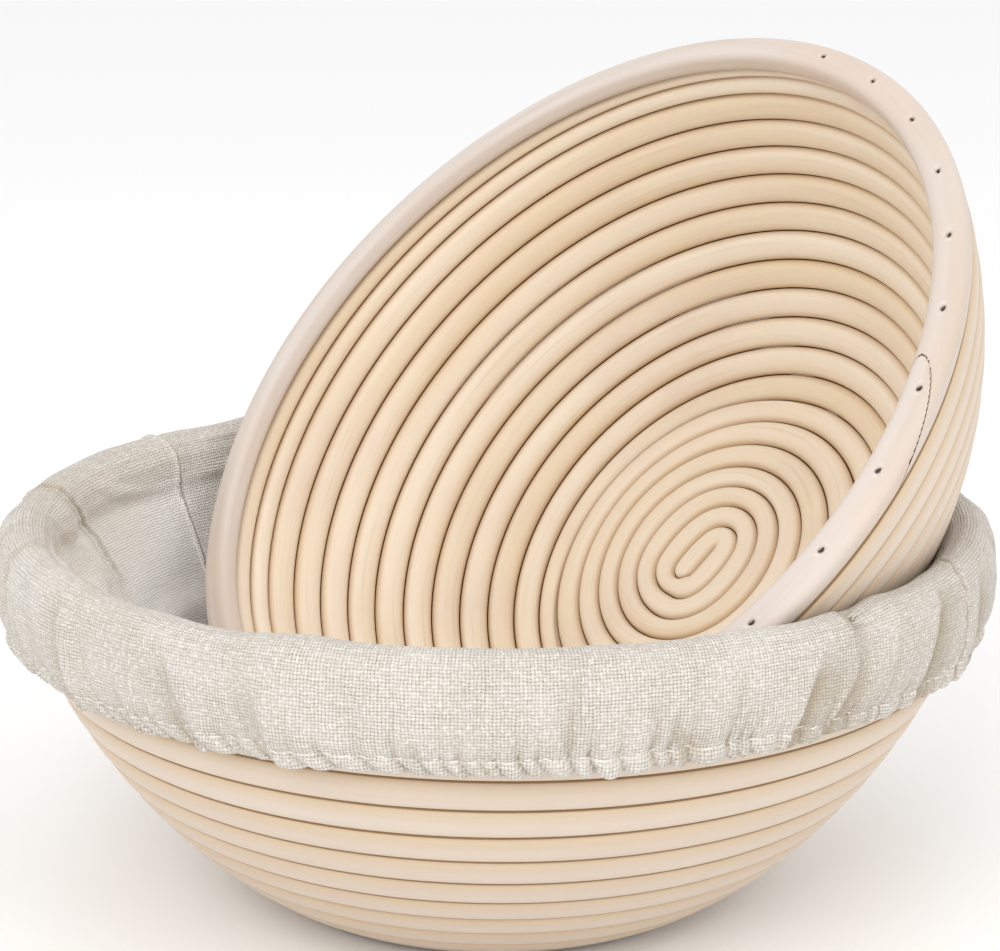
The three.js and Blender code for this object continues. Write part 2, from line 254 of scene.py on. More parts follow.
# ---- material graphs ------------------------------------------------------------------------
class Graph:
    """A few words for building a node material."""

    def __init__(self, name):
        self.material = bpy.data.materials.new(name)
        self.material.use_nodes = True
        self.tree = self.material.node_tree
        self.shader = self.tree.nodes["Principled BSDF"]

    def node(self, kind, **settings):
        made = self.tree.nodes.new(kind)
        for key, value in settings.items():
            setattr(made, key, value)
        return made

    def feed(self, socket, value):
        if isinstance(value, bpy.types.NodeSocket):
            self.tree.links.new(value, socket)
        else:
            socket.default_value = value

    def math(self, operation, a, b=0.0, c=0.0, clamp=False):
        made = self.node("ShaderNodeMath", operation=operation, use_clamp=clamp)
        for socket, value in zip(made.inputs, (a, b, c)):
            self.feed(socket, value)
        return made.outputs[0]

    def value(self, name):
        return self.node("ShaderNodeAttribute", attribute_name=name).outputs["Fac"]

    def uv(self, across=1.0, down=1.0):
        """The UV map with each of its two lengths scaled."""
        made = self.node("ShaderNodeMapping")
        self.feed(made.inputs["Vector"], self.node("ShaderNodeUVMap", uv_map="UVMap").outputs["UV"])
        made.inputs["Scale"].default_value = (across, down, 1)
        return made.outputs["Vector"]

    def place(self):
        return self.node("ShaderNodeTexCoord").outputs["Object"]

    def noise(self, vector, scale, detail=3.0, roughness=0.5, distortion=0.0):
        made = self.node("ShaderNodeTexNoise")
        self.feed(made.inputs["Vector"], vector)
        made.inputs["Scale"].default_value = scale
        made.inputs["Detail"].default_value = detail
        made.inputs["Roughness"].default_value = roughness
        made.inputs["Distortion"].default_value = distortion
        return made.outputs["Fac"]

    def spread(self, value, low, high, to_low=0.0, to_high=1.0):
        made = self.node("ShaderNodeMapRange", interpolation_type="SMOOTHSTEP")
        for socket, number in zip(made.inputs, (value, low, high, to_low, to_high)):
            self.feed(socket, number)
        return made.outputs["Result"]

    def mix(self, factor, a, b, kind="MIX"):
        made = self.node("ShaderNodeMix", data_type="RGBA", blend_type=kind)
        self.feed(made.inputs["Factor"], factor)
        self.feed(made.inputs[6], a)
        self.feed(made.inputs[7], b)
        return made.outputs[2]

    def bump(self, height, strength, distance, normal=None):
        made = self.node("ShaderNodeBump")
        made.inputs["Strength"].default_value = strength
        made.inputs["Distance"].default_value = distance
        self.feed(made.inputs["Height"], height)
        if normal is not None:
            self.feed(made.inputs["Normal"], normal)
        return made.outputs["Normal"]

    def set(self, **inputs):
        names = {
            "color": "Base Color", "roughness": "Roughness", "normal": "Normal", "metallic": "Metallic",
            "sheen": "Sheen Weight", "sheen_roughness": "Sheen Roughness",
            "specular": "Specular IOR Level",
        }
        for key, value in inputs.items():
            self.feed(self.shader.inputs[names[key]], value)
        return self.material


def linear(r, g, b):
    """A display colour of 0 to 255 as a shader colour."""
    parts = [c / 255 for c in (r, g, b)]
    return tuple(c / 12.92 if c <= 0.04045 else ((c + 0.055) / 1.055) ** 2.4 for c in parts) + (1,)


def cane_material(name, pale, warm, deep, grain=1.0, torn=False):
    g = Graph(name)
    slow = g.noise(g.uv(6, 60), 1.0, 2)
    blotch = g.noise(g.place(), 26.0, 3)
    streak = g.noise(g.uv(22, 900), 1.0, 4, 0.6)
    fibre = g.noise(g.uv(70, 3800), 1.0, 3, 0.65)
    color = g.mix(g.spread(slow, 0.3, 0.72), pale, warm)
    color = g.mix(g.math("MULTIPLY", g.spread(blotch, 0.45, 0.8), 0.5), color, linear(216, 196, 180))
    color = g.mix(g.math("MULTIPLY", g.spread(streak, 0.5, 0.85), 0.35 * grain), color, deep)
    color = g.mix(g.math("MULTIPLY", g.spread(fibre, 0.56, 0.8), 0.22 * grain), color, deep)
    edge, outside = g.value("edge"), g.value("outside")
    # painted shadow: the outside face of each course is tinted tan towards its upper edge, under the overhang
    # of the course above
    overhang_shadow = g.math("MULTIPLY", g.spread(g.value("shade"), -0.2, 1.0), outside)
    color = g.mix(g.math("MULTIPLY", outside, 0.72), color, linear(208, 193, 180))
    color = g.mix(g.math("MULTIPLY", overhang_shadow, 0.42), color, linear(198, 168, 120))
    # painted shade: each course darkens towards both its edges, less on the outside, as if curving away from
    # the light
    rounding_shade = g.math("MULTIPLY", g.spread(edge, 0.6, 1.0), g.math("MULTIPLY_ADD", outside, -0.35, 0.5))
    color = g.mix(rounding_shade, color, linear(200, 160, 112))
    # painted shade: where edge nears 1, in the grooves between courses, the colour turns deep brown
    groove = g.mix(outside, linear(104, 74, 44), linear(156, 124, 86))
    color = g.mix(g.spread(edge, 0.95, 0.98), color, groove)
    if torn:
        color = g.mix(g.math("MULTIPLY", g.value("torn"), 0.35), color, linear(240, 232, 222))
        # painted shade: the bottom of each brad's recess darkens to brown
        color = g.mix(g.value("pit"), color, linear(96, 70, 48))
    height = g.math("ADD", g.math("MULTIPLY", streak, 0.7), g.math("MULTIPLY", fibre, 0.5))
    normal = g.bump(height, 0.35, 0.25 * MM)
    return g.set(color=color, roughness=g.spread(streak, 0.3, 0.8, 0.48, 0.66), normal=normal, specular=0.4)


def linen_material(name, lift):
    """Plain-woven linen; lift is how much paler its face inside the bowl is drawn, as painted light that
    lifts its shade.
    """
    g = Graph(name)
    wobble = g.noise(g.uv(1, 1), 260.0, 3)
    split = g.node("ShaderNodeSeparateXYZ")
    g.feed(split.inputs[0], g.uv(1, 1))
    drift = g.math("MULTIPLY", g.math("SUBTRACT", wobble, 0.5), 3.4)
    sway = g.math("MULTIPLY", g.math("SUBTRACT", g.noise(g.uv(1.3, 0.8), 330.0, 3), 0.5), 3.4)
    pitch = 0.8 * MM
    across = g.math("ADD", g.math("MULTIPLY", split.outputs[0], math.pi / pitch), drift)
    down = g.math("ADD", g.math("MULTIPLY", split.outputs[1], math.pi / pitch), sway)
    a, b = g.math("COSINE", across), g.math("COSINE", down)
    thread_u = g.math("POWER", g.math("ABSOLUTE", a), 0.6)
    thread_v = g.math("POWER", g.math("ABSOLUTE", b), 0.6)
    over_u = g.math("MULTIPLY_ADD", g.math("MULTIPLY", g.math("SIGN", a), b), 0.45, 0.55)
    over_v = g.math("MULTIPLY_ADD", g.math("MULTIPLY", g.math("SIGN", b), a), -0.45, 0.55)
    height = g.math("MAXIMUM", g.math("MULTIPLY", thread_u, over_u), g.math("MULTIPLY", thread_v, over_v))
    slub_u = g.noise(g.uv(1250, 120), 1.0, 2, 0.6)
    slub_v = g.noise(g.uv(120, 1250), 1.0, 2, 0.6)
    slub = g.math("MULTIPLY_ADD", g.math("ADD", slub_u, slub_v), 0.5, 0.0)
    patch = g.noise(g.place(), 30.0, 3)
    # painted light: inside the bowl the linen takes a paler copy of its colour, and its darker nubs, slubs
    # and weave shade are weakened, to lift the shade there
    inward = g.math("MULTIPLY", g.value("inward"), lift)
    outer = g.mix(g.spread(patch, 0.3, 0.75), linear(221, 216, 209), linear(210, 203, 194))
    inner = g.mix(g.spread(patch, 0.3, 0.75), linear(254, 252, 248), linear(251, 247, 241))
    color = g.mix(inward, outer, inner)
    nub = g.noise(g.uv(1, 1), 1000.0, 2, 0.6)
    color = g.mix(g.math("MULTIPLY", g.spread(nub, 0.5, 0.66), 0.7), color, linear(244, 241, 235))
    dull = g.math("MULTIPLY_ADD", inward, -0.3, 0.4)
    color = g.mix(g.math("MULTIPLY", g.spread(nub, 0.5, 0.34), dull), color, linear(204, 194, 180))
    color = g.mix(g.math("MULTIPLY", g.spread(slub, 0.5, 0.34), dull), color, linear(204, 195, 180))
    open_weave = g.noise(g.place(), 85.0, 3, 0.6)
    slack = g.spread(open_weave, 0.3, 0.62, 0.4, 1.0)
    slack = g.math("MULTIPLY", slack, g.math("MULTIPLY_ADD", inward, -0.85, 1.0))
    filled = g.math("ADD", height, g.math("MULTIPLY_ADD", slub, 0.7, -0.33))
    # painted shade: the linen darkens where the threads lie low and, more deeply, in the pinholes between
    # them
    weave_gap_shade = g.math("MULTIPLY", g.spread(filled, 0.85, 0.4), slack)
    color = g.mix(g.math("MULTIPLY", weave_gap_shade, 0.28), color, linear(184, 172, 154))
    pinhole_shade = g.math("MULTIPLY", g.spread(filled, 0.52, 0.2), slack)
    color = g.mix(g.math("MULTIPLY", pinhole_shade, 0.75), color, linear(132, 116, 94))
    # painted shade: the linen darkens to a tan in the folds, creases, dent, tuck and seam lines
    color = g.mix(g.math("MULTIPLY", g.value("painted_fold_shade"), 0.75), color, linear(166, 150, 122))
    fuzz = g.noise(g.place(), 1400.0, 2)
    total = g.math("ADD", height, g.math("MULTIPLY", g.math("ADD", slub, fuzz), 0.3))
    normal = g.bump(total, 1.0, 0.4 * MM)
    return g.set(color=color, roughness=0.92, normal=normal, specular=0.15, sheen=0.15, sheen_roughness=0.5)


def thread_material(name, color, twist=0.5 * MM):
    g = Graph(name)
    ply = g.node("ShaderNodeTexWave", wave_type="BANDS", bands_direction="DIAGONAL")
    g.feed(ply.inputs["Vector"], g.uv(1 / twist, 1 / twist))
    ply.inputs["Scale"].default_value = 0.3
    fuzz = g.noise(g.place(), 3000.0, 2)
    shade = g.mix(g.math("MULTIPLY", fuzz, 0.4), color, linear(226, 220, 208))
    return g.set(color=shade, roughness=0.7, normal=g.bump(ply.outputs["Fac"], 0.5, 0.05 * MM), sheen=0.2)


def wire_material(name):
    g = Graph(name)
    stain = g.noise(g.place(), 900.0, 3)
    color = g.mix(g.spread(stain, 0.4, 0.7), linear(96, 86, 76), linear(66, 48, 34))
    scratch = g.noise(g.place(), 5200.0, 2)
    return g.set(color=color, roughness=g.spread(scratch, 0.3, 0.7, 0.35, 0.6), metallic=0.85,
                 normal=g.bump(scratch, 0.3, 0.05 * MM))


def elastic_material(name):
    g = Graph(name)
    ribs = g.node("ShaderNodeTexWave", wave_type="BANDS", bands_direction="Y")
    g.feed(ribs.inputs["Vector"], g.uv(1, 1))
    ribs.inputs["Scale"].default_value = 320.0
    knit = g.noise(g.uv(1800, 500), 1.0, 2)
    color = g.mix(g.math("MULTIPLY", knit, 0.4), linear(246, 245, 241), linear(216, 214, 208))
    return g.set(color=color, roughness=0.8, normal=g.bump(ribs.outputs["Fac"], 0.6, 0.2 * MM))


COIL = cane_material("coil_cane", linear(232, 219, 200), linear(223, 204, 176), linear(188, 156, 118))
RIM = cane_material(
    "rim_cane", linear(210, 200, 193), linear(200, 183, 167), linear(184, 158, 134), 0.8, torn=True)
# painted light: LINEN draws the cloth's face inside the bowl paler; LINEN_REVERSE has no such lift
LINEN = linen_material("linen", 1.0)
LINEN_REVERSE = linen_material("linen_reverse", 0.0)
THREAD = thread_material("sewing_thread", linear(238, 234, 226))
WIRE = wire_material("brad_wire")
ELASTIC = elastic_material("elastic_band")


def dress(obj, material, body, nodes):
    obj.data.materials.append(material)
    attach(obj, body)
    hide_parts(*nodes)
    return obj


# ---- canes ----------------------------------------------------------------------------------
OUTER_POWER = 4.6                # the courses are flatter outside than inside
RIM_POWER = 3.1
SUNK = 0.6 * MM                  # how deep a scarf's vanished part lies inside the other end
COURSE_GAP = 0.03 * MM           # between two courses, on each side; the dark groove between them is painted shade
SLIT = 0.12 * MM                 # half the cut between the rim's two ends
RIM_LIFT = 0.1 * MM              # between the coil's last course and the rim


def superellipse(count, power):
    """Points round a unit superellipse, starting in the middle of one side."""
    angle = np.arange(count) / count * TAU
    x = np.sign(np.cos(angle)) * np.abs(np.cos(angle)) ** (2 / power)
    y = np.sign(np.sin(angle)) * np.abs(np.sin(angle)) ** (2 / power)
    return x, y


def coil(name, bowl, seed):
    """The cane from the hairpin to its tapered end under the rim."""
    first, last = -0.5 + 1 / 24, bowl.turns - 0.012
    turn = np.linspace(first, last, int((last - first) * 144))[:, None]
    low, high = bowl.groove(turn) + COURSE_GAP, bowl.groove(turn + 1) - COURSE_GAP
    high = np.maximum(high, low + 0.3 * MM)
    middle, half = (low + high) / 2, (high - low) / 2
    sides = 36
    x, y_in = superellipse(sides, 2.45)
    y_out = -np.maximum(1 - np.abs(x) ** OUTER_POWER, 0) ** (1 / OUTER_POWER) * (y_in < 0)
    thick = CANE_THICKNESS * bowl.scale
    swell = Waves(seed, [0.29, 0.71, 1.13, 2.9])(turn) * 0.16 * MM
    tilt = 0.12 * MM * smooth((middle - BASE_RADIUS) / (25 * MM))
    inner = thick / 2 + (thick / 2 + swell) * np.maximum(y_in, 0)
    outer = thick / 2 * np.minimum(y_out, 0) + tilt * x * (y_out < 0)
    points = bowl.place(middle + half * x, turn, inner + outer)
    along = lengths(bowl.place(middle, turn, thick / 2)[:, 0])
    around = np.linspace(0, 30 * MM, sides + 1)
    outside = np.broadcast_to(1.0 * (y_in < 0), points.shape[:2])
    # painted shade: the dark groove reaches further onto the outside face, most at its upper edge under the
    # course above
    groove_shade_reach = 0.04 + 0.04 * (x > 0) + 0.015 * Waves(seed + 5, [0.9, 2.3, 5.1])(turn)
    edge = np.clip(np.abs(x) + groove_shade_reach * outside, 0, 1)
    # position across the course, which places the painted shadow under the course above
    shade = np.broadcast_to(np.clip(x, -1, 1), points.shape[:2])
    return swept(name, points, along, around, {"edge": edge, "outside": outside, "shade": shade}, sharp=60)


def rim(name, bowl, seed):
    """The rim cane, its thin first end lying on the last one in a slanting scarf."""
    scale = bowl.scale
    start = bowl.scarf_turn()
    brads = (bowl.brad_turns() - start) * 360 % 360
    step = 1.5
    angles = np.arange(0, 360 + SCARF_ANGLE + step / 2, step)
    fine = np.concatenate([b + np.linspace(-1.6, 1.6, 19) for b in brads])
    scarf = np.concatenate([lap + np.linspace(0, SCARF_ANGLE, 200) for lap in (0, 360)])
    angles = np.unique(np.round(np.concatenate([angles, fine, scarf]), 3))
    angles = angles[(angles >= 0) & (angles <= 360 + SCARF_ANGLE)][:, None]
    turn = start + angles / 360
    thick, bottom, top = RIM_THICKNESS * scale, bowl.seat + RIM_LIFT, bowl.length
    sides = 60
    x, y = superellipse(sides, RIM_POWER)
    wave = Waves(seed, [1, 2, 3, 5])(turn) * 0.2 * MM
    s = (bottom + top) / 2 + (top - bottom) / 2 * x + wave * np.clip(x, 0, 1)
    depth = thick / 2 + thick / 2 * y
    height = (top - bottom)
    past = angles - np.where(angles > 180, 360, 0)
    tongue = 8 * (1 - (1 - depth / thick) ** 2.5)
    plane = bottom + height * ((SCARF_ANGLE - past) - tongue) / 12
    middle = (bottom + top) / 2
    reach = height / 2 * np.maximum(1 - np.abs(y) ** RIM_POWER, 0) ** (1 / RIM_POWER)
    gone_above = smooth((plane + SLIT - (middle + reach)) / (0.25 * MM))
    gone_below = smooth(((middle - reach) - (plane - SLIT)) / (0.25 * MM))
    above = np.minimum(np.maximum(s, plane + SLIT), middle + reach) - gone_above * SUNK
    below = np.maximum(np.minimum(s, plane - SLIT), middle - reach) + gone_below * SUNK
    first, final = angles <= SCARF_ANGLE, angles >= 360
    cut = (first & (s < plane + SLIT)) | (final & (s > plane - SLIT))
    s = np.where(first, above, np.where(final, below, s))
    drawn_in = np.where(first, gone_above, np.where(final, gone_below, 0)) * SUNK
    depth = depth - drawn_in * np.sign(y)
    # the recesses round the brads
    dimple, torn, pit = np.zeros(s.shape), np.zeros(s.shape), np.zeros(s.shape)
    radius = RIM_RADIUS * scale
    rng = np.random.default_rng(seed)
    for brad in brads:
        for lap in (0, 360):
            along = (angles - brad - lap) / 360 * TAU * radius
            across = depth - thick / 2
            reach = np.hypot(along / (1.25 * MM), across / (0.65 * MM))
            on_top = smooth((s - (top - 2.5 * MM)) / (1.5 * MM))
            ragged = 1 + 0.5 * np.sin(np.arctan2(across, along) * 7 + rng.uniform(0, TAU))
            dimple += on_top * (-0.75 * MM * bell(reach, 0.8) + 0.16 * MM * ragged * bell(reach - 1.25, 0.3))
            torn += on_top * bell(reach - 1.3, 0.35) * ragged * 0.8
            # painted shade mask for the bottom of each brad's recess
            pit += on_top * bell(reach, 0.5) * smooth(ragged)
    points = bowl.place(s + dimple, turn, depth)
    along = lengths(bowl.place(bottom + height / 2, turn, thick / 2)[:, 0])
    around = np.linspace(0, 32 * MM, sides + 1)
    # painted shade: the faces of the scarf's cut take the dark groove colour through edge
    values = {"edge": 1.0 * cut, "torn": np.clip(torn, 0, 1),
              "pit": np.clip(pit * 1.3, 0, 1), "outside": np.zeros(s.shape), "shade": np.zeros(s.shape)}
    return swept(name, points, along, around, values, sharp=50)


def brad(name, bowl, index, rng):
    """The bent crown of one wire brad and the start of its shank."""
    scale = bowl.scale
    turn = bowl.brad_turns()[index]
    thick = RIM_THICKNESS * scale
    middle = bowl.place(bowl.length, turn, thick / 2)
    below = bowl.place(bowl.length - 14 * MM, turn, thick / 2)
    up = (middle - below) / np.linalg.norm(middle - below)
    azimuth = bowl.azimuth(turn)
    along = np.array([-math.sin(azimuth), math.cos(azimuth), 0])
    across = np.cross(up, along)
    skew = rng.uniform(-0.45, 0.15)
    cos, sin = math.cos(skew), math.sin(skew)
    along, across = along * cos + across * sin, across * cos - along * sin
    t = np.linspace(-1, 1, 15)[:, None]
    angle = np.arange(12) / 12 * TAU
    taper = np.sqrt(np.clip(1 - t**6, 0.02, 1))
    sink = 0.42 * MM
    rise = 0.12 * MM * (1 - t**2)
    a = 0.82 * MM * t + 0 * angle
    b = 0.26 * MM * taper * np.cos(angle)
    kink = 0.16 * MM * np.sin(t * 2.6 + rng.uniform(0, TAU))
    b = b + kink
    c = -sink + rise + 0.26 * MM * taper * np.sin(angle)
    points = middle + a[..., None] * along + b[..., None] * across + c[..., None] * up
    return swept(name, points, lengths(points[:, 0]), np.linspace(0, 2 * MM, 13))


def basket(prefix, bowl, body, place, seed):
    coil_nodes = [f"{prefix}_coil_cane_{length}" for length in (1, 2, 3)]
    made = [
        (coil(f"{prefix}_wound_coil", bowl, seed), COIL, "cane", coil_nodes),
        (rim(f"{prefix}_rim_ring", bowl, seed + 1), RIM, "rim_cane", [f"{prefix}_rim_cane"]),
    ]
    rng = np.random.default_rng(seed + 2)
    for index in range(BRADS):
        node = f"{prefix}_brad_{index + 1}"
        made.append((brad(f"{node}_wire", bowl, index, rng), WIRE, "brad", [node]))
    for obj, material, slot, nodes in made:
        obj.data.transform(place)
        dress(obj, material, body, nodes)


basket("lower", LOWER, "lower_basket", Matrix.Identity(4), 11)
basket("second", SECOND, "second_basket", SECOND_PLACE, 21)


# ---- the linen liner --------------------------------------------------------------------------
CLOTH_DEPTH = 8.4 * MM           # visible face of the cloth, from the outside of the wall
CLOTH_THICK = 0.5 * MM
FAN = 0.45                       # how far the creases above the stitch lean outwards as they rise
HEM_FAN = 1.1                    # and the puffs below it
HEM_LEAN = 0.6                   # how far the puffs all lean one way besides
WALL_END = 165 * MM              # arc length at which the cloth leaves the wall for the rim
ROLL_LINE = [                    # radius and height over the rim, down the skirt and up inside the hem
    (112.9, 89.1), (113.4, 93.5), (115.3, 97.0), (118.4, 99.0), (121.6, 98.9), (124.6, 96.7), (126.3, 92.4),
    (126.8, 87.5), (126.5, 83), (125.7, 79), (124.8, 76.8), (124.0, 74.9), (123.5, 73.3), (122.6, 72.0),
    (121.7, 71.9), (121.3, 73.0), (121.5, 74.8), (121.9, 76.4),
]
STITCH_HEIGHT = 75.8 * MM
BAND_RADIUS = 122.3 * MM         # middle of the elastic band's thickness
BAND_HALF = 0.28 * MM


def cloth_profile():
    """Radius and height of the cloth's visible face by its own arc length, evenly sampled."""
    s = np.linspace(0, WALL_END, 160)
    wall = np.stack(LOWER.at(s, CLOTH_DEPTH), 1)
    line = np.vstack([wall, np.array(ROLL_LINE) * MM])
    # round the corners of the polyline
    t = lengths(line)
    even = np.linspace(0, t[-1], 1400)
    fine = np.stack([np.interp(even, t, line[:, n]) for n in (0, 1)], 1)
    kernel = np.hanning(17)
    kernel /= kernel.sum()
    padded = np.vstack([np.repeat(fine[:1], 8, 0), fine, np.repeat(fine[-1:], 8, 0)])
    fine = np.stack([np.convolve(padded[:, n], kernel, "valid") for n in (0, 1)], 1)
    fine[0, 0] = 0
    return lengths(fine), fine


CLOTH_T, CLOTH_LINE = cloth_profile()
CLOTH_RUN = np.gradient(CLOTH_LINE, CLOTH_T, axis=0)
CLOTH_RUN /= np.linalg.norm(CLOTH_RUN, axis=1)[:, None]
CREST = int(CLOTH_LINE[:, 1].argmax())
OUTSIDE = slice(CREST, CREST + int(CLOTH_LINE[CREST:, 1].argmin()))
STITCH_T = float(np.interp(-STITCH_HEIGHT, -CLOTH_LINE[OUTSIDE, 1], CLOTH_T[OUTSIDE]))
HEM_T = float(CLOTH_T[OUTSIDE.stop])


def clear_room():
    """How far the cloth may sink at each of its arc lengths before it touches the lower basket."""
    s = np.linspace(0, LOWER.length, 500)
    thick = np.where(s > LOWER.seat, RIM_THICKNESS, CANE_THICKNESS + 0.16 * MM)
    inner, outer = np.stack(LOWER.at(s, thick), 1), np.stack(LOWER.at(s, 0 * s), 1)
    top = np.stack(LOWER.at(np.full(40, LOWER.length), np.linspace(0, RIM_THICKNESS, 40)), 1)
    band_low, band_high = (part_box("liner_elastic_band")[n].z for n in (0, 1))
    band_z = np.linspace(band_low + 1.2 * MM, band_high - 0.3 * MM, 30)
    band = np.vstack([np.stack([BAND_RADIUS + side * BAND_HALF + 0 * band_z, band_z], 1) for side in (-1, 1)])
    around = np.vstack([inner, top, outer, band])
    gap = np.hypot(*(CLOTH_LINE[:, None] - around[None]).transpose(2, 0, 1)).min(1)
    return np.maximum(gap - CLOTH_THICK - 0.15 * MM, 0)


ROOM = clear_room()


def on_cloth(t):
    """Radius, height and outward normal of the undisturbed cloth."""
    r, z, rr, rz = (np.interp(t, CLOTH_T, col) for col in (*CLOTH_LINE.T, *CLOTH_RUN.T))
    return r, z, -rz, rr


def angle_from(a, b):
    """Signed difference of two azimuths in radians, from -pi to pi."""
    return (a - b + math.pi) % TAU - math.pi


def gathers(azimuth, t, seed):
    """The gathered hem: puffs under the stitch, and creases that run up from it and fan outwards."""
    rng = np.random.default_rng(seed)
    wide = rng.uniform(0, 1, 400) < 0.6
    widths = np.where(wide, rng.uniform(5.0, 10.0, 400), rng.uniform(2.8, 4.8, 400)) * MM / RIM_RADIUS
    marks = np.concatenate([[0], np.cumsum(widths)])
    count = np.searchsorted(marks, TAU)
    marks = marks[: count + 1] * TAU / marks[count]
    size = rng.uniform(0.4, 1.0, count)
    deep = rng.uniform(0.25, 1.0, count + 1)
    reach = rng.uniform(3.0, 9.0, count + 1) * MM
    reach *= np.where(rng.uniform(0, 1, count + 1) < 0.3, rng.uniform(1.8, 3.0, count + 1), 1.0)
    deep[-1], reach[-1] = deep[0], reach[0]
    up = STITCH_T - t
    slant = FAN * np.maximum(up, 0) + HEM_FAN * np.minimum(up, 0)
    lean = HEM_LEAN * np.maximum(-up, 0)
    a = (azimuth - (np.cos(azimuth) * slant + lean) / RIM_RADIUS) % TAU
    index = np.clip(np.searchsorted(marks, a, side="right") - 1, 0, count - 1)
    left, right = a - marks[index], marks[index + 1] - a
    x = left / (marks[index + 1] - marks[index])
    strength = 0.65 + 0.45 * Waves(seed + 1, [3 / TAU, 5 / TAU, 8 / TAU])(azimuth)
    puff = np.sin(np.clip(x, 0, 1) * math.pi) ** 0.7 * size[index] * strength
    near = np.where(left < right, index, index + 1)
    off = np.minimum(left, right) * RIM_RADIUS
    above = np.maximum(up, 0)
    narrow = 0.6 * MM + 0.14 * above
    valley = strength * deep[near] * np.exp(-off / narrow) * np.exp(-((above / reach[near]) ** 1.4))
    return puff, valley


def crease(azimuth, t, at, top, width, height, lean=0.0):
    """A pleat: the cloth steps up at the crease and dies away over its width, from top down to the hem."""
    offset = angle_from(azimuth, math.radians(at) + lean * (t - STITCH_T) / RIM_RADIUS) * RIM_RADIUS
    rise = np.where(offset >= 0, np.exp(-offset / width), -0.35 * np.exp(offset / (width * 0.35)))
    rise = rise * np.tanh(np.abs(offset) / (0.8 * MM)) * smooth((t - top) / (12 * MM))
    return height * rise


PLEATS = [                       # azimuth at the stitch, cloth length at its top, width, height, lean
    (183, 172, 7, 0.8, 0.35), (196, 174, 8, 0.9, 0.3), (209, 180, 6, 0.7, 0.3), (219.5, 172, 9, 1.5, 0.18),
    (229, 188, 6, 0.9, 0.4), (237.5, 176, 11, 1.3, 0.35), (247, 180, 9, 1.1, 0.2), (262, 188, 9, 0.7, 0.1),
    (288, 188, 5, -0.8, 0.3), (301, 178, 6, -1.1, -0.45), (306.5, 180, 5, -0.9, -0.5),
    (321, 172, 6, -1.2, -0.35),
    (334, 176, 8, -0.9, -0.2), (346, 174, 8, -0.9, -0.1),
]


def tuck_offset(azimuth, t):
    """Distance from the tuck at the back left."""
    tuck = math.radians(1) * np.interp(t / MM, [120, 141, 161, 176], [142.6, 142.4, 143.2, 144.6])
    return angle_from(azimuth, tuck) * RIM_RADIUS


def tuck_hold(t):
    return smooth((t - 112 * MM) / (20 * MM)) * (1 - smooth((t - 180 * MM) / (10 * MM)))


def hollows(azimuth, t):
    """How much a spot lies down in a crease of the gathers or beside a pleat, in the dent, by the tuck or by
    a seam, from 0 to 1; the linen is darkened there as painted shade.
    """
    puff, valley = gathers(azimuth, t, 41)
    below = smooth((t - (STITCH_T - 1.5 * MM)) / (3 * MM))
    dip = valley * (1 - 0.3 * below) + below * (1 - smooth(puff / 0.3)) * 0.4
    off = angle_from(azimuth, math.radians(309.6)) * RIM_RADIUS
    dip = dip + bell(off, 2.2 * MM) * bell(t - 172 * MM, 8 * MM) * 1.2
    off = tuck_offset(azimuth, t)
    dip = dip + tuck_hold(t) * bell(off + 0.3 * MM, 0.45 * MM) * 1.3
    off = angle_from(azimuth, seam_left(t)) * RIM_RADIUS
    dip = dip + smooth((t - 120 * MM) / (20 * MM)) * (1 - smooth((t - 172 * MM) / (10 * MM))) * 0.55 * (
        bell(off + 0.9 * MM, 1.0 * MM) + 0.5 * bell(off - 3.0 * MM, 0.6 * MM))
    off = angle_from(azimuth, seam_right(t)) * RIM_RADIUS
    dip = dip + smooth((t - 150 * MM) / (10 * MM)) * 0.8 * bell(off, 0.4 * MM)
    for at, top, width, height, lean in PLEATS:
        dip = dip + np.maximum(-crease(azimuth, t, at, top * MM, width * MM, height, lean), 0) * 1.2
    return np.clip(dip, 0, 1)


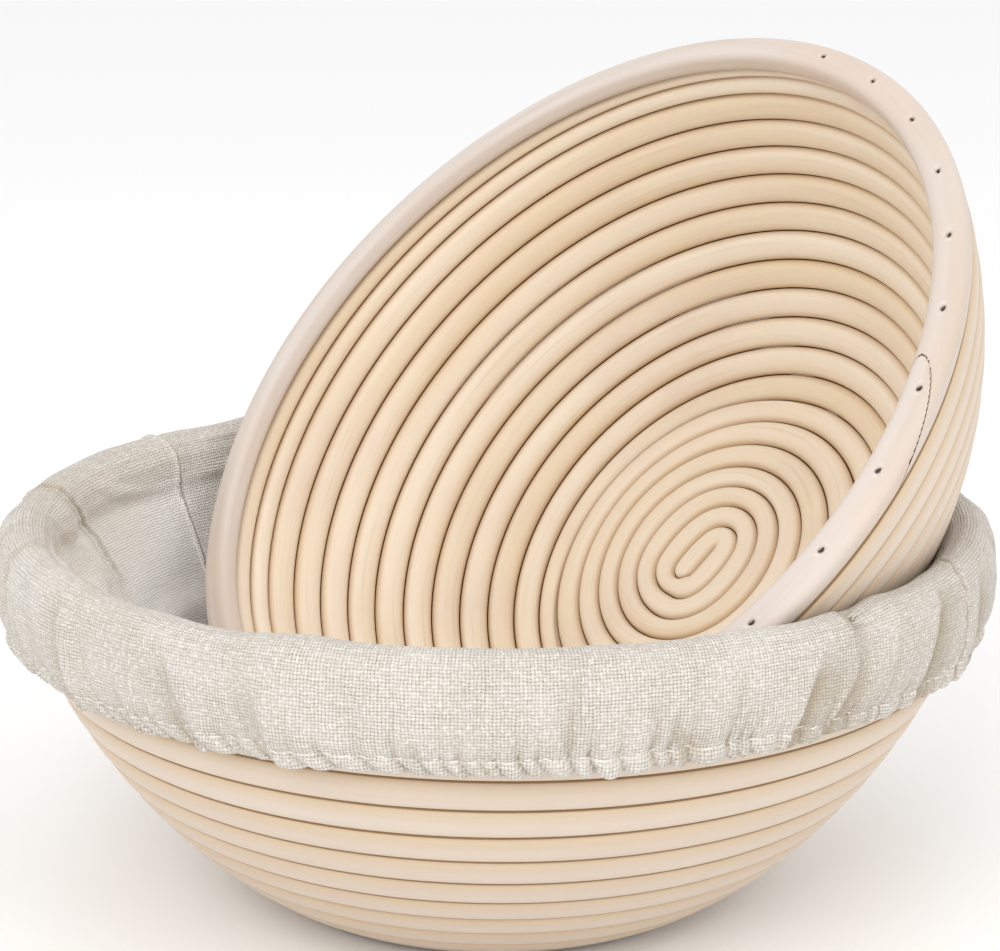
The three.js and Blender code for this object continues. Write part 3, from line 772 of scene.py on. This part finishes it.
def cloth_field(azimuth, t):
    """How far the cloth stands off its plain shape: along its normal, and downwards."""
    down = smooth((t - 186 * MM) / (12 * MM))
    wall = smooth((t - 40 * MM) / (40 * MM)) * (1 - smooth((t - 158 * MM) / (14 * MM)))
    roll = smooth((t - 155 * MM) / (15 * MM)) * (1 - smooth((t - 192 * MM) / (12 * MM)))
    slow = Waves(31, [1 / TAU, 2 / TAU, 3 / TAU, 5 / TAU, 8 / TAU])(azimuth)
    mid = Waves(32, [7 / TAU, 11 / TAU, 17 / TAU, 23 / TAU])(azimuth + 1.5 * (t - 170 * MM))
    out = roll * (0.7 * slow + 0.8 * mid) * MM
    # slack folds on the inside wall
    warp = 0.5 * Waves(33, [3 / TAU, 5 / TAU])(azimuth) + 0.3 * Waves(34, [9.0, 17.0])(t)
    fold_a = Waves(35, [9 / TAU, 14 / TAU])(azimuth + 4.0 * t + warp)
    fold_b = Waves(36, [13 / TAU, 19 / TAU, 29 / TAU])(azimuth - 9.0 * t + 0.7 * warp)
    slack = np.maximum(0.45 + fold_a, 0) ** 1.5 * 1.3 + np.maximum(fold_b, 0) ** 1.3 * 0.9
    out = out + wall * slack * MM
    # gathers
    puff, valley = gathers(azimuth, t, 41)
    below = smooth((t - (STITCH_T - 1.5 * MM)) / (3 * MM))
    out = out + (puff * 1.3 * below - valley * 2.2 * (1 - 0.4 * below)) * MM
    broad = Waves(42, [9 / TAU, 14 / TAU, 22 / TAU, 34 / TAU])(azimuth + 0.6 * (t - STITCH_T))
    out = out + (broad + 0.25) * 1.3 * MM * down
    # the channel is pinched where the stitches hold it
    out = out - 0.5 * MM * bell(t - STITCH_T, 0.8 * MM)
    drop = (0.3 - puff * 0.9) * MM * smooth((t - STITCH_T) / (4 * MM))
    drop = drop + (0.5 * broad + 0.5 * slow) * MM * down
    # larger pleats drawn in by the elastic
    for at, top, width, height, lean in PLEATS:
        out = out + crease(azimuth, t, at, top * MM, width * MM, height * MM, lean)
    rng = np.random.default_rng(43)
    for _ in range(14):
        at = rng.uniform(-10, 165)
        out = out + crease(azimuth, t, at, rng.uniform(176, 188) * MM, rng.uniform(4, 10) * MM,
                           rng.uniform(0.5, 1.5) * MM * rng.choice([-1, 1]), rng.uniform(-0.2, 0.2))
    return out, drop


def seam_left(t):
    """Azimuth of the left seam by the cloth's arc length."""
    at = [0, 90, 137, 150, 163, 176, 200]
    return np.radians(np.interp(t / MM, at, [165, 163, 162.5, 164.7, 171, 174, 170.5]))


def seam_right(t):
    return np.radians(np.interp(t / MM, [0, 90, 150, 163, 176, 200], [345, 344, 341, 337, 331, 330.5]))


def push_clear(points, bowl, place, clearance):
    """Moves points that come within clearance of a basket's wall straight away from it."""
    turn = np.array(place.to_3x3())
    shift = np.array(place.translation)
    local = (points - shift) @ turn
    r = np.hypot(local[:, 0], local[:, 1])
    z = local[:, 2]
    depth = RIM_THICKNESS * bowl.scale
    s = np.linspace(0, bowl.length, 260)
    edge = np.stack(bowl.at(s, 0.0), 1)
    run = np.stack([np.interp(s, bowl.s, bowl.run[:, n]) for n in (0, 1)], 1)
    index = np.zeros(len(r), int)
    for start in range(0, len(r), 20000):
        part = slice(start, start + 20000)
        d = np.hypot(r[part, None] - edge[None, :, 0], z[part, None] - edge[None, :, 1])
        index[part] = d.argmin(1)
    normal = np.stack([run[index, 1], -run[index, 0]], 1)
    away = ((np.stack([r, z], 1) - edge[index]) * normal).sum(1)
    along = ((np.stack([r, z], 1) - edge[index]) * run[index]).sum(1)
    at_top = (index == len(s) - 1) & (along > 0)
    need = np.where(at_top, 0, clearance - away)
    need = np.where((away > -depth - 2 * MM) & (need > 0), need, 0)
    # beyond the rim the way out is up along the wall
    lift = np.where(at_top & (away < clearance) & (away > -depth - clearance), clearance - along, 0)
    lift = np.maximum(lift, 0)
    push = normal * need[:, None] + run[index] * lift[:, None]
    unit = np.stack([local[:, 0] / np.maximum(r, 1e-9), local[:, 1] / np.maximum(r, 1e-9)], 1)
    local[:, 0] += unit[:, 0] * push[:, 0]
    local[:, 1] += unit[:, 1] * push[:, 0]
    local[:, 2] += push[:, 1]
    return local @ turn.T + shift


def cloth_points(azimuth, t, seam_gap):
    """Points of the cloth; seam_gap is the distance to the nearer seam."""
    r, z, nr, nz = on_cloth(t)
    out, drop = cloth_field(azimuth, t)
    pucker = 0.22 * MM * np.sin(t / (4.2 * MM) * TAU + 2 * np.sin(t / (13 * MM))) * bell(seam_gap, 3.5 * MM)
    seam = -0.55 * MM * bell(seam_gap, 0.55 * MM) + 0.35 * MM * bell(seam_gap - 1.9 * MM, 1.3 * MM)
    out = out + (seam + pucker) * smooth((t - 5 * MM) / (20 * MM))
    off = tuck_offset(azimuth, t)
    fold = 0.75 * bell(off - 0.7 * MM, 0.8 * MM) - 0.4 * bell(off + 0.5 * MM, 0.5 * MM)
    out = out + tuck_hold(t) * fold * MM
    # the dent beside the leaning basket
    off = angle_from(azimuth, math.radians(310.5)) * RIM_RADIUS
    hold = smooth((t - 160 * MM) / (14 * MM)) * (1 - smooth((t - 183 * MM) / (12 * MM)))
    out = out - hold * 2.6 * MM * bell(off, np.where(off < 0, 2.0 * MM, 7 * MM))
    # the short fold just inside the roll at the front left
    along = (np.degrees(azimuth) % 360 - 201) / 11
    middle = (165.5 + 3.0 * along) * MM
    hold = 1 - smooth((np.abs(along) - 0.6) / 0.4)
    ridge = bell(t - middle + 1.2 * MM, 1.4 * MM)
    furrow = bell(t - middle - 0.5 * MM, 0.7 * MM)
    out = out + hold * MM * (0.9 * ridge - 0.6 * furrow)
    inside = smooth((t - HEM_T + 1.0 * MM) / (2 * MM))
    out = np.maximum(out * (1 - inside) - inside * 0.1 * MM, -np.interp(t, CLOTH_T, ROOM))
    r = r + nr * out
    z = z + nz * out + drop
    points = np.stack([r * np.cos(azimuth), r * np.sin(azimuth), z], -1)
    return points


def spaced(start, end, spots, coarse, fine):
    """Positions from start to end, closer together near the spots."""
    at, out = start, [start]
    while at < end:
        near = min(abs(at - spot) for spot in spots)
        at += fine if near < 3.2 * MM / RIM_RADIUS else coarse
        out.append(min(at, end))
    if out[-1] - out[-2] < fine / 2:
        out.pop(-2)
    return np.array(out)


def panel(name, left, right, extra):
    """One cloth panel between two seams, from the middle of the floor to the turned-up hem."""
    step = 0.72 * MM / RIM_RADIUS
    mid = 190 * MM
    a0, a1 = float(left(np.array(mid))), float(right(np.array(mid)))
    if a1 < a0:
        a1 += TAU
    spots = [a0, a1] + [a for a in extra if a0 < a < a1]
    share = (spaced(a0, a1, spots, step, step / 3) - a0) / (a1 - a0)
    rows = np.concatenate([
        np.linspace(2, 60, 16), np.linspace(62, 156, 64), np.linspace(157, 186, 42),
        np.linspace(186.6, HEM_T / MM + 2.4, 44), np.linspace(HEM_T / MM + 3.4, CLOTH_T[-1] / MM, 5),
    ]) * MM
    t = rows[:, None]
    low, high = left(t), right(t)
    high = np.where(high < low, high + TAU, high)
    azimuth = low + (high - low) * share
    r = on_cloth(t)[0]
    gap = np.minimum(azimuth - low, high - azimuth) * r
    azimuth = azimuth + 0 * t
    points = cloth_points(azimuth, t + 0 * azimuth, gap)
    shape = points.shape[:2]
    flat = points.reshape(-1, 3)
    for _ in range(2):
        flat = push_clear(flat, SECOND, SECOND_PLACE, 0.35 * MM)
    points = flat.reshape(*shape, 3)
    count, cols = shape
    centre = np.array([[0, 0, float(points[0, :, 2].mean())]])
    i, j = np.meshgrid(np.arange(count - 1), np.arange(cols - 1), indexing="ij")
    i, j = i.ravel(), j.ravel()
    quads = np.stack([i * cols + j, i * cols + j + 1, (i + 1) * cols + j + 1, (i + 1) * cols + j], 1)
    fan = [[count * cols, n + 1, n] for n in range(cols - 1)]
    u = RIM_RADIUS * azimuth
    v = t + 0 * u
    uv = np.stack([
        np.stack([u[i, j], v[i, j]], 1), np.stack([u[i, j + 1], v[i, j + 1]], 1),
        np.stack([u[i + 1, j + 1], v[i + 1, j + 1]], 1), np.stack([u[i + 1, j], v[i + 1, j]], 1),
    ], 1).reshape(-1, 2)
    fan_uv = [
        pair for n in range(cols - 1)
        for pair in ((u[0, n], 0), (u[0, n + 1], v[0, 0]), (u[0, n], v[0, 0]))
    ]
    # turned over, so that the faces look the way the cloth is seen from
    faces = quads[:, ::-1].tolist() + [f[::-1] for f in fan]
    uv = uv.reshape(-1, 4, 2)[:, ::-1].reshape(-1, 2)
    fan_uv = np.array(fan_uv).reshape(-1, 3, 2)[:, ::-1].reshape(-1, 2)
    uv = np.vstack([uv, fan_uv])
    painted_fold_shade = np.append(hollows(azimuth, t).ravel(), 0)
    # how far inside the bowl a spot lies, which sets the painted light that pales the linen there
    inward = np.append((1 - smooth((t - 150 * MM) / (22 * MM)) + 0 * azimuth).ravel(), 1)
    values = {"painted_fold_shade": painted_fold_shade, "inward": inward}
    obj = make_object(name, np.vstack([points.reshape(-1, 3), centre]), faces, uv, values)
    solid = obj.modifiers.new("cloth", "SOLIDIFY")
    solid.thickness = CLOTH_THICK
    solid.offset = -1
    solid.material_offset = 1
    return obj, azimuth, t, points


EXTRA = [math.radians(a) for a in (143.5, 219, 235.6, 310.5, 143.5 + 360)]
front, front_az, front_t, front_points = panel("liner_front_cloth", seam_left, seam_right, EXTRA)
back, back_az, back_t, back_points = panel("liner_back_cloth", seam_right, seam_left, EXTRA)
for cloth, node in ((front, "liner_front_panel"), (back, "liner_back_panel")):
    dress(cloth, LINEN, "liner", [node, "liner_skirt", "liner_hem_channel"])
    cloth.data.materials.append(LINEN_REVERSE)


def sample_cloth(azimuth, t):
    """The finished cloth's point at an azimuth and arc length."""
    for az, rows, points in ((front_az, front_t, front_points), (back_az, back_t, back_points)):
        row = int(np.argmin(np.abs(rows[:, 0] - t)))
        line = az[row]
        a = azimuth
        while a < line[0]:
            a += TAU
        while a > line[-1] + 1e-9:
            a -= TAU
        if line[0] <= a <= line[-1]:
            return np.array([np.interp(a, line, points[row, :, n]) for n in range(3)])
    raise ValueError("azimuth on no panel")


def stitching():
    """The running stitch round the hem, one short thread after another."""
    rng = np.random.default_rng(51)
    pitch = 3.9 * MM
    count = int(TAU * 124 * MM / pitch)
    points, faces, uvs = [], [], []
    rings, sides = 7, 6
    for n in range(count):
        at = TAU * n / count
        half = rng.uniform(0.7, 1.6) * MM / (124 * MM)
        shift = rng.uniform(-0.4, 0.4) * MM
        tip_a = sample_cloth(at - half, STITCH_T + shift)
        tip_b = sample_cloth(at + half, STITCH_T + shift + rng.uniform(-0.5, 0.5) * MM)
        middle = sample_cloth(at, STITCH_T + shift)
        outward = np.array([math.cos(at), math.sin(at), 0.15])
        x = np.linspace(-1, 1, rings)[:, None]
        line = lerp(tip_a, tip_b, (x + 1) / 2) + (middle - (tip_a + tip_b) / 2) * (1 - x**2)
        line = line + outward * (0.22 * (1 - x**2) - 0.14) * MM
        along = (tip_b - tip_a) / np.linalg.norm(tip_b - tip_a)
        side = np.cross(outward, along)
        ring = np.arange(sides) / sides * TAU
        radius = 0.15 * MM * np.sqrt(np.clip(1 - np.abs(x) ** 5, 0.06, 1))
        aside = (radius * np.cos(ring))[..., None] * side
        body = line[:, None] + aside + (radius * np.sin(ring))[..., None] * outward
        base = len(points) * rings * sides
        points.append(body)
        for i in range(rings - 1):
            for j in range(sides):
                k = (j + 1) % sides
                near, far = base + i * sides, base + (i + 1) * sides
                faces.append([near + j, near + k, far + k, far + j])
                uvs += [(i * 0.3 * MM, j * 0.1 * MM), (i * 0.3 * MM, (j + 1) * 0.1 * MM),
                        ((i + 1) * 0.3 * MM, (j + 1) * 0.1 * MM), ((i + 1) * 0.3 * MM, j * 0.1 * MM)]
        for end, order in ((0, range(sides - 1, -1, -1)), ((rings - 1) * sides, range(sides))):
            faces.append([base + end + j for j in order])
            uvs += [(0, 0)] * sides
    obj = make_object("liner_hem_stitches", np.vstack([p.reshape(-1, 3) for p in points]), faces, uvs)
    obj.data.materials.append(THREAD)
    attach(obj, "liner")
    return obj


def elastic():
    """The ribbed band inside the hem's channel."""
    low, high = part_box("liner_elastic_band")
    angles = np.linspace(0, TAU, 361)[:-1]
    half_t, half_h = BAND_HALF, (high.z - low.z) / 2 - 0.8 * MM
    x, y = superellipse(16, 4)
    ripple = Waves(61, [61 / TAU, 97 / TAU])(angles)[:, None] * 0.08 * MM
    r = BAND_RADIUS + half_t * x + ripple
    z = (low.z + high.z) / 2 + 0.6 * MM + half_h * y + 0 * r
    points = np.stack([r * np.cos(angles)[:, None], r * np.sin(angles)[:, None], z], -1)
    count, sides = points.shape[:2]
    faces, uvs = [], []
    for i in range(count):
        k = (i + 1) % count
        for j in range(sides):
            m = (j + 1) % sides
            faces.append([i * sides + j, k * sides + j, k * sides + m, i * sides + m])
            u0, u1, v0, v1 = i * 2.1 * MM, (i + 1) * 2.1 * MM, j * 0.6 * MM, (j + 1) * 0.6 * MM
            uvs += [(u0, v0), (u1, v0), (u1, v1), (u0, v1)]
    obj = make_object("liner_elastic", points, faces, uvs)
    return dress(obj, ELASTIC, "liner", ["liner_elastic_band"])


stitches = stitching()
band = elastic()


# ---- floor and light --------------------------------------------------------------------------
def studio():
    bpy.ops.mesh.primitive_grid_add(x_subdivisions=8, y_subdivisions=8, size=16, location=(0, 3, -0.0002))
    floor = bpy.context.object
    floor.name = "studio_floor"
    g = Graph("studio_floor")
    g.set(color=(0.93, 0.93, 0.93, 1), roughness=0.9, specular=0.1)
    floor.data.materials.append(g.material)

    def lamp(name, energy, size, place, aim, tint=(1, 1, 1)):
        data = bpy.data.lights.new(name, "AREA")
        data.shape = "DISK"
        data.energy, data.size, data.color = energy, size, tint
        obj = bpy.data.objects.new(name, data)
        bpy.context.scene.collection.objects.link(obj)
        obj.location = place
        obj.rotation_euler = (Vector(aim) - Vector(place)).to_track_quat("-Z", "Y").to_euler()

    lamp("key", 8, 0.9, (-0.45, -1.2, 1.05), (0, 0, 0.08), (1, 0.995, 0.985))
    lamp("fill", 4, 0.8, (0.9, -1.0, 1.0), (0, 0, 0.1))
    world = bpy.data.worlds.new("studio")
    bpy.context.scene.world = world
    world.use_nodes = True
    world.node_tree.nodes["Background"].inputs["Color"].default_value = (1, 1, 1, 1)
    world.node_tree.nodes["Background"].inputs["Strength"].default_value = 1.0
    bpy.context.scene.view_settings.view_transform = "Standard"


studio()
